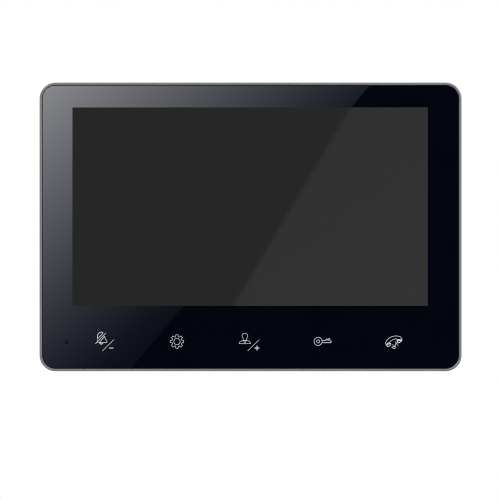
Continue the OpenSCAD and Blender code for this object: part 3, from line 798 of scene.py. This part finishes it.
# The floor's half width and height, and how far away it starts and ends turning white
FLOOR_HALF, FLOOR_Z = 20.0, -1.4
FLOOR_FADE = 5.0, 14.0


def strip_lights(nodes, direction):
    """How bright the studio is in mirrors along a direction: soft slanting strips of light."""
    noise = nodes.add("ShaderNodeTexNoise")
    noise.noise_dimensions = "1D"
    noise.inputs["Scale"].default_value = 1.0
    noise.inputs["Detail"].default_value = 0.0
    across = nodes.vector_maths("DOT_PRODUCT", direction, STRIPS_ACROSS / STRIP_WIDTH, "Value")
    nodes.join(across, noise.inputs["W"])
    strips = nodes.spread(noise.outputs["Fac"], STRIP_DARK, STRIP_BRIGHT, 0.4, 0.6, "SMOOTHSTEP")
    return nodes.maths("MULTIPLY", strips, MIRRORED_LIGHT)


def studio_world(seen, ambient):
    """White to the camera, strips of light in mirrors, bright enough on matte surfaces."""
    world = bpy.data.worlds.new("studio")
    SCENE.world = world
    world.cycles.sampling_method = "NONE"
    world.use_nodes = True
    nodes = Nodes(world.node_tree)

    def white(strength):
        background = nodes.add("ShaderNodeBackground")
        nodes.feed(((1, 1, 1, 1), strength), background.inputs)
        return background.outputs["Background"]

    direction = nodes.add("ShaderNodeTexCoord").outputs["Generated"]
    shader = nodes.either("Is Glossy Ray", white(ambient), white(strip_lights(nodes, direction)))
    shader = nodes.either("Is Camera Ray", shader, white(seen))
    nodes.join(shader, nodes.add("ShaderNodeOutputWorld").inputs["Surface"])


def softbox(name, at, width, height, power):
    """Rectangular soft light of a power in watts that looks at the middle of the monitor."""
    data = bpy.data.lights.new(name, "AREA")
    data.shape = "RECTANGLE"
    data.size, data.size_y, data.energy = width, height, power
    light = bpy.data.objects.new(name, data)
    light.location = at
    light.rotation_euler = (Vector((0, 0, 0)) - Vector(at)).to_track_quat("-Z", "Y").to_euler()
    SCENE.collection.objects.link(light)


def staged_face(name, corners, material):
    """One flat face that belongs to the studio and not to the monitor."""
    data = bpy.data.meshes.new(name)
    data.from_pydata(corners, [], [tuple(range(len(corners)))])
    data.materials.append(material)
    thing = bpy.data.objects.new(name, data)
    SCENE.collection.objects.link(thing)
    return thing


def square(half):
    """Corners of a square about the origin that reaches half to each side."""
    return [(-half, -half), (half, -half), (half, half), (-half, half)]


def floor():
    """Pale floor far below, as under a wall monitor hung at chest height, that runs out into the white."""
    s = Surface("pale_floor", roughness=0.7)
    s.colour(s.mottle((0.88, 0.88, 0.88), 0.01, 0.4))
    s.relief(s.noise(2 * MM, 2.0), 0.05 * MM)
    away = s.vector_maths("LENGTH", s.place, output="Value")
    s.join(s.spread(away, 0.0, 1.0, *FLOOR_FADE), s.shader.inputs["Emission Strength"])
    s.shader.inputs["Emission Color"].default_value = (1, 1, 1, 1)
    in_mirrors = s.add("ShaderNodeEmission")
    s.join(strip_lights(s, s.vector_maths("NORMALIZE", s.place)), in_mirrors.inputs["Strength"])
    shader = s.either("Is Glossy Ray", s.shader.outputs["BSDF"], in_mirrors.outputs["Emission"])
    s.join(shader, s.surface)
    s.material.cycles.emission_sampling = "NONE"
    staged_face("floor", [(x, y, FLOOR_Z) for x, y in square(FLOOR_HALF)], s.material)


studio_world(seen=1.0, ambient=0.8)
softbox("key_light", (-1.3, -1.5, 1.7), 1.4, 1.0, 16)
softbox("fill_light", (1.7, -1.3, 0.9), 1.2, 1.2, 8)
softbox("back_light_left", (-1.6, 1.5, 1.5), 1.2, 1.2, 16)
softbox("back_light_right", (1.7, 1.5, 0.8), 1.2, 1.2, 10)
floor()

# ---- Cards that the glass mirrors ----

# How far in front of the glass the first card is, how far apart the three are, and half their widths
CARD_DISTANCE, CARD_GAP = 2.4, 0.01
CARD_HALF, DARK_HALF = 0.375, 0.9
# How much bigger than on the glass a thing on the card is, for the front camera
MIRRORED = 1 + CARD_DISTANCE / (VIEW_DISTANCE + GLASS_Y - RIM_Y)
# The share of light that the glass mirrors, and the curve from a colour as displays show it to light
REFLECTANCE = 0.04
CURVE_OFFSET, CURVE_POWER = 0.055, 2.4
# The window's veil over the ink: the ink's displayed colour, then the veil in the middle of the glass, its
# change per metre across and up, and the least that it thins to
INK_SHOWN = (0.0157, 0.0275, 0.0627)
VEIL_MIDDLE, VEIL_PER_X, VEIL_PER_Z, VEIL_LEAST = 0.0419, -3.075, 3.352, 0.036
# The light on the screen: in the middle of the glass, and its change per metre across and up
SCREEN_LIGHT, SCREEN_PER_X, SCREEN_PER_Z = 0.277, 0.76, -1.0
# Two points of the glass on each slanting edge, and how wide the screen's edge is on the card
WINDOW_EDGE = (51.1 * MM, 60.7 * MM), (-49.6 * MM, -58.6 * MM)
SCREEN_EDGE = (42.3 * MM, 50.7 * MM), (-3.7 * MM, -27.4 * MM)
SCREEN_EDGE_FADE = -1.8 * MM, 3.4 * MM
# How far the window's edge runs on past its two points, and where the dark card fades out
OVERRUN = 0.2
DARK_FADE = 0.4, 0.85


def on_card(x, z):
    """Where a point of the glass, in metres, is mirrored on the card for the front camera."""
    return Vector((x + (x - CAMERA_AT.x) * (MIRRORED - 1), z + (z - CAMERA_AT.z) * (MIRRORED - 1)))


def card(name, corners, gap, material, receiver=None):
    """Flat card in front of the glass that only mirrors see, lighting one piece if it gives light."""
    y = GLASS_Y - CARD_DISTANCE - gap
    thing = staged_face(name, [(x, y, z) for x, z in corners], material)
    thing.visible_camera = thing.visible_diffuse = thing.visible_transmission = False
    thing.visible_volume_scatter = thing.visible_shadow = False
    if receiver is not None:
        lit = bpy.data.collections.new(name + "_lights")
        lit.objects.link(receiver)
        thing.light_linking.receiver_collection = lit


def glow(name, light_of):
    """Light whose colour changes over the card, and clear to what is behind it."""
    s = Surface(name)
    s.tree.nodes.remove(s.shader)
    split = s.add("ShaderNodeSeparateXYZ")
    s.join(s.place, split.inputs["Vector"])
    emission = s.add("ShaderNodeEmission")
    s.feed(light_of(s, split.outputs["X"], split.outputs["Z"]), emission.inputs)
    clear = s.add("ShaderNodeBsdfTransparent")
    both = s.add("ShaderNodeAddShader")
    s.feed((emission.outputs["Emission"], clear.outputs["BSDF"]), both.inputs)
    s.join(both.outputs["Shader"], s.surface)
    s.material.cycles.emission_sampling = "NONE"
    return s.material


def slanted(s, x, z, per_x, per_z, constant):
    """constant + per_x * x + per_z * z as a node output."""
    along = s.maths("MULTIPLY", x, per_x)
    up = s.maths("MULTIPLY", z, per_z)
    return s.maths("ADD", s.maths("ADD", along, up), constant)


def to_curve(colour):
    """A displayed colour as the number that the curve raises to its power."""
    return [(c + CURVE_OFFSET) / (1 + CURVE_OFFSET) for c in colour]


def window_glow(s, x, z):
    """Large soft window up and to the left, a white veil over the ink that thins evenly across the glass."""
    middle = on_card(0, 0)
    per_x, per_z = VEIL_PER_X / MIRRORED, VEIL_PER_Z / MIRRORED
    veil = slanted(s, x, z, per_x, per_z, VEIL_MIDDLE - per_x * middle.x - per_z * middle.y)
    veil = s.maths("SQRT", s.maths("ADD", s.maths("MULTIPLY", veil, veil), VEIL_LEAST ** 2))
    shown = s.vector_maths("MULTIPLY", veil, [(1 - c) / (1 + CURVE_OFFSET) for c in INK_SHOWN])
    shown = s.vector_maths("ADD", shown, to_curve(INK_SHOWN))
    curve = s.add("ShaderNodeGamma")
    s.feed((shown, CURVE_POWER), curve.inputs)
    ink_light = [c ** CURVE_POWER for c in to_curve(INK_SHOWN)]
    return s.vector_maths("SUBTRACT", curve.outputs["Color"], ink_light), 1 / REFLECTANCE


def screen_glow(s, x, z):
    """Weak light on the right of a soft slanting edge, a little stronger towards the lower right."""
    top, bottom = (on_card(*point) for point in SCREEN_EDGE)
    normal = Vector((top.y - bottom.y, bottom.x - top.x)).normalized()
    side = slanted(s, x, z, normal.x, normal.y, -normal.dot(top))
    level = slanted(s, x, z, SCREEN_PER_X / MIRRORED, SCREEN_PER_Z / MIRRORED, SCREEN_LIGHT)
    shade = s.maths("MULTIPLY", s.spread(side, 0.0, 1.0, *SCREEN_EDGE_FADE), level)
    return s.between(shade, (0, 0, 0), (1, 1, 1)), 1.0


def dark_backing():
    """Black in the middle, clear towards the edge."""
    s = Surface("dark_backing", roughness=1.0, specular_ior_level=0.0)
    s.shader.inputs["Base Color"].default_value = (0, 0, 0, 1)
    flat = s.vector_maths("MULTIPLY", s.place, (1, 0, 1))
    away = s.vector_maths("LENGTH", flat, output="Value")
    s.join(s.spread(away, 1.0, 0.0, *DARK_FADE), s.shader.inputs["Alpha"])
    return s.material


def window_outline():
    """The window from the card's left side to its slanting edge, which runs on past the glass."""
    top, bottom = (on_card(*point) for point in WINDOW_EDGE)
    run = (top - bottom).normalized() * OVERRUN
    top, bottom = top + run, bottom - run
    return [(-CARD_HALF, bottom.y), tuple(bottom), tuple(top), (-CARD_HALF, top.y)]


card("window_card", window_outline(), 0, glow("window_glow", window_glow), GLASS)
card("screen_card", square(CARD_HALF), CARD_GAP, glow("screen_glow", screen_glow), SCREEN_PIECE)
card("dark_card", square(DARK_HALF), 2 * CARD_GAP, dark_backing())
